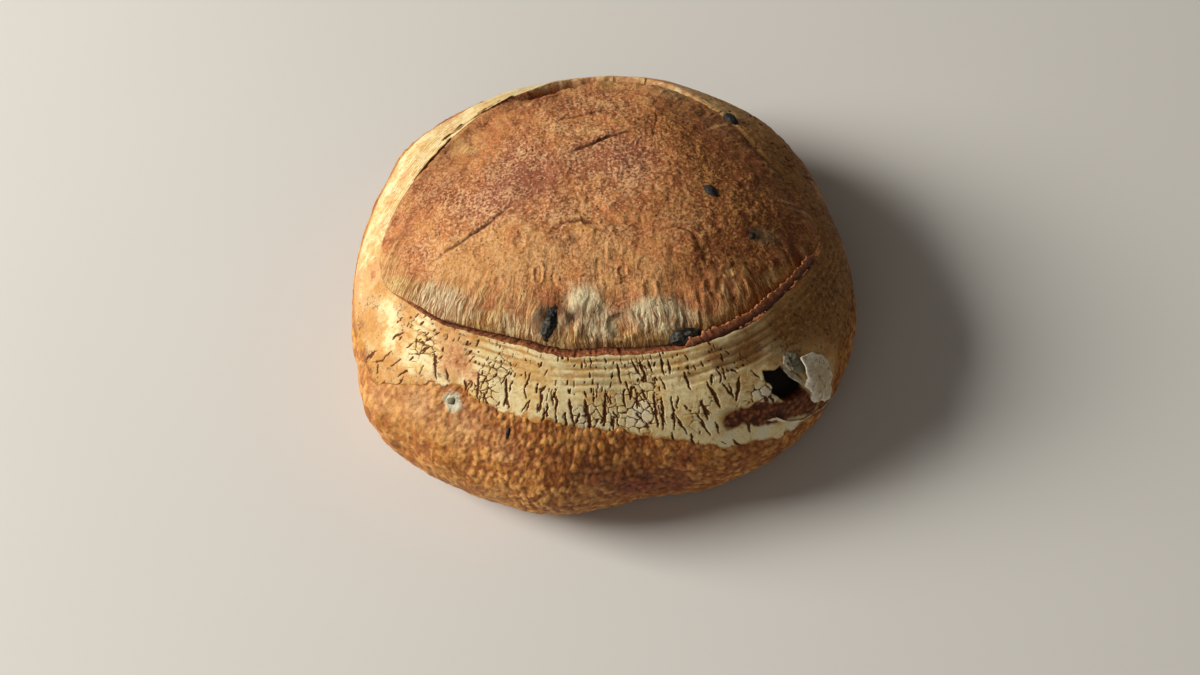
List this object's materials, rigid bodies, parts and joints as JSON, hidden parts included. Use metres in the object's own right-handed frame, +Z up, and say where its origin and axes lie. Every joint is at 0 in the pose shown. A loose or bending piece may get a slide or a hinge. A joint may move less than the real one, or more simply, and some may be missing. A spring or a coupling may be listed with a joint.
{
  "type": "olive sourdough loaf",
  "caption": "Round uncut olive sourdough loaf with an opened slash, a floured crackled band and blistered lower crust.",
  "frame": {"origin": "middle of the loaf's bounding box, at the height of its flat base", "axes": "+Z up, +X to the loaf's right, +Y towards its back; the floured front band faces -Y"},
  "size_m": [0.2396, 0.2284, 0.1003],
  "materials": {
    "loaf": null,
    "olive_top": null,
    "olive_slit": null,
    "olive_foot": null,
    "olive_lip": null,
    "olive_torn": null,
    "olive_star": null
  },
  "bodies": {
    "root": {"loaf": "loaf", "olive_top": "olive_top", "olive_slit": "olive_slit", "olive_foot": "olive_foot", "olive_lip": "olive_lip", "olive_torn": "olive_torn", "olive_star": "olive_star"}
  },
  "joints": []
}
